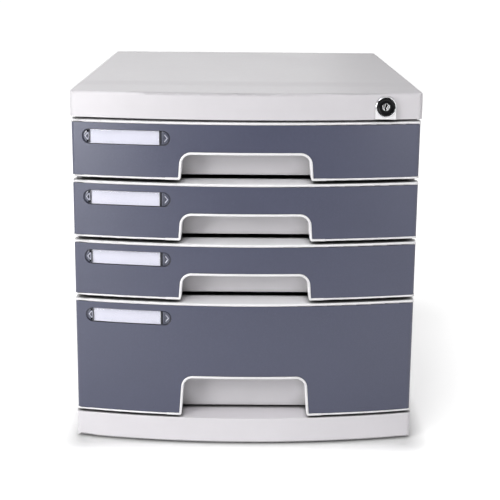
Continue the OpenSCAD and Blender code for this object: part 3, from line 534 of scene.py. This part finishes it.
def lock_face():
    """The lock's chrome ring and the black barrel, turned from filleted profiles."""
    ring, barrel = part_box("lock_ring"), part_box("lock_barrel")
    axis_x, axis_z = ((ring[0][i] + ring[1][i]) / 2 for i in (0, 2))
    front, seat = ring[0][1], ring[1][1]
    outer = ring[1][0] - axis_x
    profile = [(RING_BORE, seat), (outer - 0.00002, seat)]
    profile += arc(outer - RING_ROUND, front + RING_ROUND, RING_ROUND, 0, -90, 10)
    profile += arc(0.0081, front + RING_LIP, RING_LIP, -90, -180, 5)
    profile += [(HEAD_BORE, seat - HEAD_STEP), (RING_BORE, seat - HEAD_STEP)]
    build("lock_ring_turned", [lathe(profile, axis_x, axis_z)], "lock_chrome", "lock_ring", True)
    face, back = barrel[0][1], barrel[1][1]
    # a lip round the plug, a shallow dish, the head's rim, and the hollow body behind it
    profile = [(NOSE_BORE, face + 0.00025)] + arc(0.0037, face + 0.0004, 0.00025, -150, -90, 5)
    profile += [(0.0042, face + 0.00022), (0.0054, face + 0.0003), (0.0060, face + 0.00022)]
    profile += arc(0.0066, face + 0.00012, 0.00012, -110, -70, 4)
    profile += arc(0.0071, face + HEAD_ROUND, HEAD_ROUND, -80, 0, 10)
    profile += [(HEAD_R, seat - 0.00062), (BARREL_R, seat - HEAD_STEP)]
    profile += [(BARREL_R, back - 0.0004), (0.0065, back), (PLUG_BORE, back)]
    profile += [(PLUG_BORE, seat + NOSE_LONG), (NOSE_BORE, seat + NOSE_LONG)]
    build("lock_barrel_turned", [lathe(profile, axis_x, axis_z)], "lock_black", "lock_barrel", True)


PLUG_POINTS = 120         # points round the plug
NOSE_R, PLUG_R = 0.0034, 0.00445          # radii of the plug's nose and body
DOME_R = 0.0031           # the plug's face is a dome up to this radius, then a chamfer
DOME_BEND = 25            # the dome's depth over the radius squared, 1 / 40 mm
CHAMFER_SLOPE = 0.9
KEYWAY_SWAY, KEYWAY_WAVE = 0.00050, 1050          # how far it sways to a side, and radians per metre
KEYWAY_HALF, KEYWAY_WALL = 0.00062, 0.00016       # half width, and how far its sides slope
KEYWAY_REACH, KEYWAY_END = 0.0026, 0.0002         # half length, and how far its ends slope
KEYWAY_DEEP, KEYWAY_DARK = 0.0030, 0.0012         # depth, and the depth from which it is painted black as the shade of a deep slot


def plug_face():
    """The lock's plug: a domed face with an S-shaped keyway, and a plain turned body behind it.

    The face is a grid of rings. It lies behind the plug's front by a dome, DOME_BEND * r^2, a chamfer
    past DOME_R, and a groove with steep sides round the line x = KEYWAY_SWAY * sin(KEYWAY_WAVE * z).
    """
    low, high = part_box("lock_plug")
    axis_x, axis_z = (low[0] + high[0]) / 2, (low[2] + high[2]) / 2
    turn = np.linspace(0, 2 * np.pi, PLUG_POINTS, endpoint=False)[None, :]
    r = np.concatenate([np.linspace(0.00002, DOME_R, 44), [0.0033, 0.00339]])[:, None]
    x, z = r * np.cos(turn), r * np.sin(turn)
    middle = KEYWAY_SWAY * np.sin(z * KEYWAY_WAVE)
    side = np.clip((np.abs(x - middle) - KEYWAY_HALF) / KEYWAY_WALL, 0, 1)
    end = np.clip((np.abs(z) - KEYWAY_REACH) / KEYWAY_END, 0, 1)
    groove = KEYWAY_DEEP * (1 - np.maximum(side, end)) * (r < 0.0032)
    dome = r * r * DOME_BEND + np.maximum(r - DOME_R, 0) * CHAMFER_SLOPE
    face = np.stack(np.broadcast_arrays(axis_x + x, low[1] + dome + groove, axis_z + z), -1)
    # (radius, y) of the nose, the wider body and its chamfered rear end
    body = [(NOSE_R, low[1] + 0.0009), (NOSE_R, low[1] + 0.0047), (PLUG_R, low[1] + 0.0048),
            (PLUG_R, high[1] - 0.0003), (0.0042, high[1]), (0.00002, high[1])]
    rings = np.array([[(axis_x + q * np.cos(a), y, axis_z + q * np.sin(a)) for a in turn[0]]
                      for q, y in body])
    points = np.concatenate([face, rings])
    rows = len(points)
    faces = sheet_faces(rows, PLUG_POINTS, wrap_cols=True)
    faces += [list(range(PLUG_POINTS)), list(range((rows - 1) * PLUG_POINTS, rows * PLUG_POINTS))[::-1]]
    plug = build("lock_plug_turned", [(points, faces)], "lock_chrome", "lock_plug", True)
    # the keyway's depth is painted black, as the shade of a deep slot
    plug.data.materials.append(MATERIALS["lock_black"])
    polygons = plug.data.polygons
    flat = points.reshape(-1, 3)
    index = np.zeros(len(polygons), int)
    for i in range((len(face) - 1) * PLUG_POINTS):
        index[i] = flat[polygons[i].vertices[0], 1] > low[1] + KEYWAY_DARK
    polygons.foreach_set("material_index", index)


# ---------- stage, light and camera ----------

FOOTPRINT = (0.140, 0.172, 0)     # half size of the area under the cabinet that the floor's lift starts from
WORLD_LIGHT = 0.07                # brightness of the world where nothing sees it directly
LAMP_AIM, LAMP_DISTANCE = Vector((0, -0.1, 0.16)), 1.6
LAMPS = [  # name, azimuth, elevation, size, power, gloss only
    ("left_wide", -80, 15, (1.0, 1.0), 3.8, False),
    ("right_wide", 80, 15, (1.0, 1.0), 3.8, False),
    ("left_key", -45, 12, (0.5, 0.5), 9.0, False),
    ("left_high", -45, 52, (0.5, 0.5), 2.8, False),
    ("front_high", -20, 35, (0.6, 0.5), 6.8, False),
    ("right_key", 40, 25, (0.5, 0.5), 3.0, False),
    ("overhead", 0, 70, (1.0, 0.6), 2.0, False),
    ("back_wide", 190, 20, (1.0, 1.0), 2.4, False),
    ("left_sheen", -40, 5, (0.8, 0.4), 9.5, True),
    ("right_sheen", 40, 5, (0.8, 0.4), 4.4, True),
]


def seen_directly(tree, behind):
    """1 for what the camera sees directly or through glass, and `behind` for what a gloss mirrors."""
    path = add(tree, "ShaderNodeLightPath").outputs
    mirrored = compute(tree, "MULTIPLY_ADD", path["Is Glossy Ray"], behind, path["Is Camera Ray"])
    return compute(tree, "ADD", mirrored, path["Is Transmission Ray"], clamp=True)


def depth_of(tree, vector):
    """The Y part of a vector: it grows from the studio's front to its white back."""
    parts = add(tree, "ShaderNodeSeparateXYZ")
    tree.links.new(vector, parts.inputs[0])
    return parts.outputs["Y"]


def floor_material():
    """Pale floor. Camera rays see it lifted to white, and it keeps the shadow.

    The lift grows with the length of max(abs(position) - footprint, 0), so it is even all round.
    """
    mat, tree = new_material("floor")
    out = add(tree, "ShaderNodeOutputMaterial")
    diffuse = add(tree, "ShaderNodeBsdfDiffuse", in_Color=(0.86, 0.86, 0.86, 1))
    glow = add(tree, "ShaderNodeEmission", in_Color=(1, 1, 1, 1))
    coords = add(tree, "ShaderNodeTexCoord").outputs["Object"]
    past = coords
    for operation in ("ABSOLUTE", "SUBTRACT", "MAXIMUM", "LENGTH"):
        step = add(tree, "ShaderNodeVectorMath", operation=operation)
        if operation == "SUBTRACT":
            step.inputs[1].default_value = FOOTPRINT
        tree.links.new(past, step.inputs[0])
        past = step.outputs[0]
    distance = step.outputs["Value"]
    # close to the footprint the lift stays low, which paints the floor darker in a band round the foot, on
    # top of the shadow the lamps cast
    near = span(tree, distance, 0.02, 0.5, (0.006, 0.028))
    far = span(tree, distance, 0.0, 0.5, (0.02, 0.2))
    behind = span(tree, depth_of(tree, coords), 0.1, 1.0, (-1.1, -0.4))
    lift = compute(tree, "MULTIPLY", compute(tree, "ADD", near, far), seen_directly(tree, behind))
    tree.links.new(lift, glow.inputs["Strength"])
    both = add(tree, "ShaderNodeAddShader")
    tree.links.new(diffuse.outputs[0], both.inputs[0])
    tree.links.new(glow.outputs[0], both.inputs[1])
    tree.links.new(both.outputs[0], out.inputs["Surface"])
    return mat


def make_floor():
    """A flat sheet 60 m wide, at z = 0."""
    mesh = bpy.data.meshes.new("floor")
    half = 30.0
    mesh.from_pydata([(-half, -half, 0), (half, -half, 0), (half, half, 0), (-half, half, 0)], [],
                     [(0, 1, 2, 3)])
    mesh.materials.append(floor_material())
    floor = bpy.data.objects.new("floor", mesh)
    bpy.context.scene.collection.objects.link(floor)


def soft_box(name, azimuth, elevation, size, power, gloss_only):
    """An area light that looks at LAMP_AIM. Azimuth 0 is in front, positive to the right, in degrees."""
    a, e = math.radians(azimuth), math.radians(elevation)
    way = Vector((math.sin(a) * math.cos(e), -math.cos(a) * math.cos(e), math.sin(e)))
    light = bpy.data.lights.new(name, "AREA")
    light.shape = "RECTANGLE"
    light.size, light.size_y = size
    light.energy = power
    obj = bpy.data.objects.new(name, light)
    bpy.context.scene.collection.objects.link(obj)
    obj.location = LAMP_AIM + way * LAMP_DISTANCE
    obj.rotation_mode = "QUATERNION"
    obj.rotation_quaternion = way.to_track_quat("Z", "Y")
    obj.visible_diffuse = not gloss_only


def make_world():
    """White for what is seen directly or mirrored from the back, and a dim fill for the rest."""
    world = bpy.data.worlds.new("studio")
    bpy.context.scene.world = world
    world.use_nodes = True
    tree = world.node_tree
    tree.nodes.clear()
    out = add(tree, "ShaderNodeOutputWorld")
    dim = add(tree, "ShaderNodeBackground", in_Color=(1, 1, 1, 1), in_Strength=WORLD_LIGHT)
    white = add(tree, "ShaderNodeBackground", in_Color=(1, 1, 1, 1), in_Strength=1.0)
    way = depth_of(tree, add(tree, "ShaderNodeTexCoord").outputs["Generated"])
    seen = seen_directly(tree, span(tree, way, 0.2, 1.0, (-0.25, 0.15)))
    tree.links.new(mix_shader(tree, seen, dim.outputs[0], white.outputs[0]), out.inputs["Surface"])


def make_camera():
    """Camera fitted to the cabinet's edges: yaw, tilt and roll in degrees, lengths in metres."""
    focal, frame_wide = 1124.6, 500       # both in pixels
    sensor = 36                           # millimetres
    place = Vector((-0.0028, -1.1157, 0.4323))
    yaw, tilt, roll = (math.radians(v) for v in (0.393, 12.106, 0.503))
    c, s = math.cos(yaw), math.sin(yaw)
    ct, st = math.cos(tilt), math.sin(tilt)
    forward = Vector((s * ct, c * ct, -st))
    right = Vector((c, -s, 0))
    up = Vector((s * st, c * st, ct))
    cr, sr = math.cos(roll), math.sin(roll)
    right, up = cr * right + sr * up, cr * up - sr * right
    data = bpy.data.cameras.new("camera")
    data.sensor_width = sensor
    data.lens = focal / frame_wide * sensor
    data.shift_y = -0.12
    data.clip_start, data.clip_end = 0.05, 100
    cam = bpy.data.objects.new("camera", data)
    bpy.context.scene.collection.objects.link(cam)
    cam.matrix_world = Matrix.Translation(place) @ Matrix((right, up, -forward)).transposed().to_4x4()
    bpy.context.scene.camera = cam


dress_nodes()
for drawer in FRONTS:
    notch_trim(drawer)
    label_window(drawer)
lock_face()
plug_face()
make_floor()
make_world()
for lamp in LAMPS:
    soft_box(*lamp)
make_camera()
view = bpy.context.scene.view_settings
view.view_transform = "Standard"
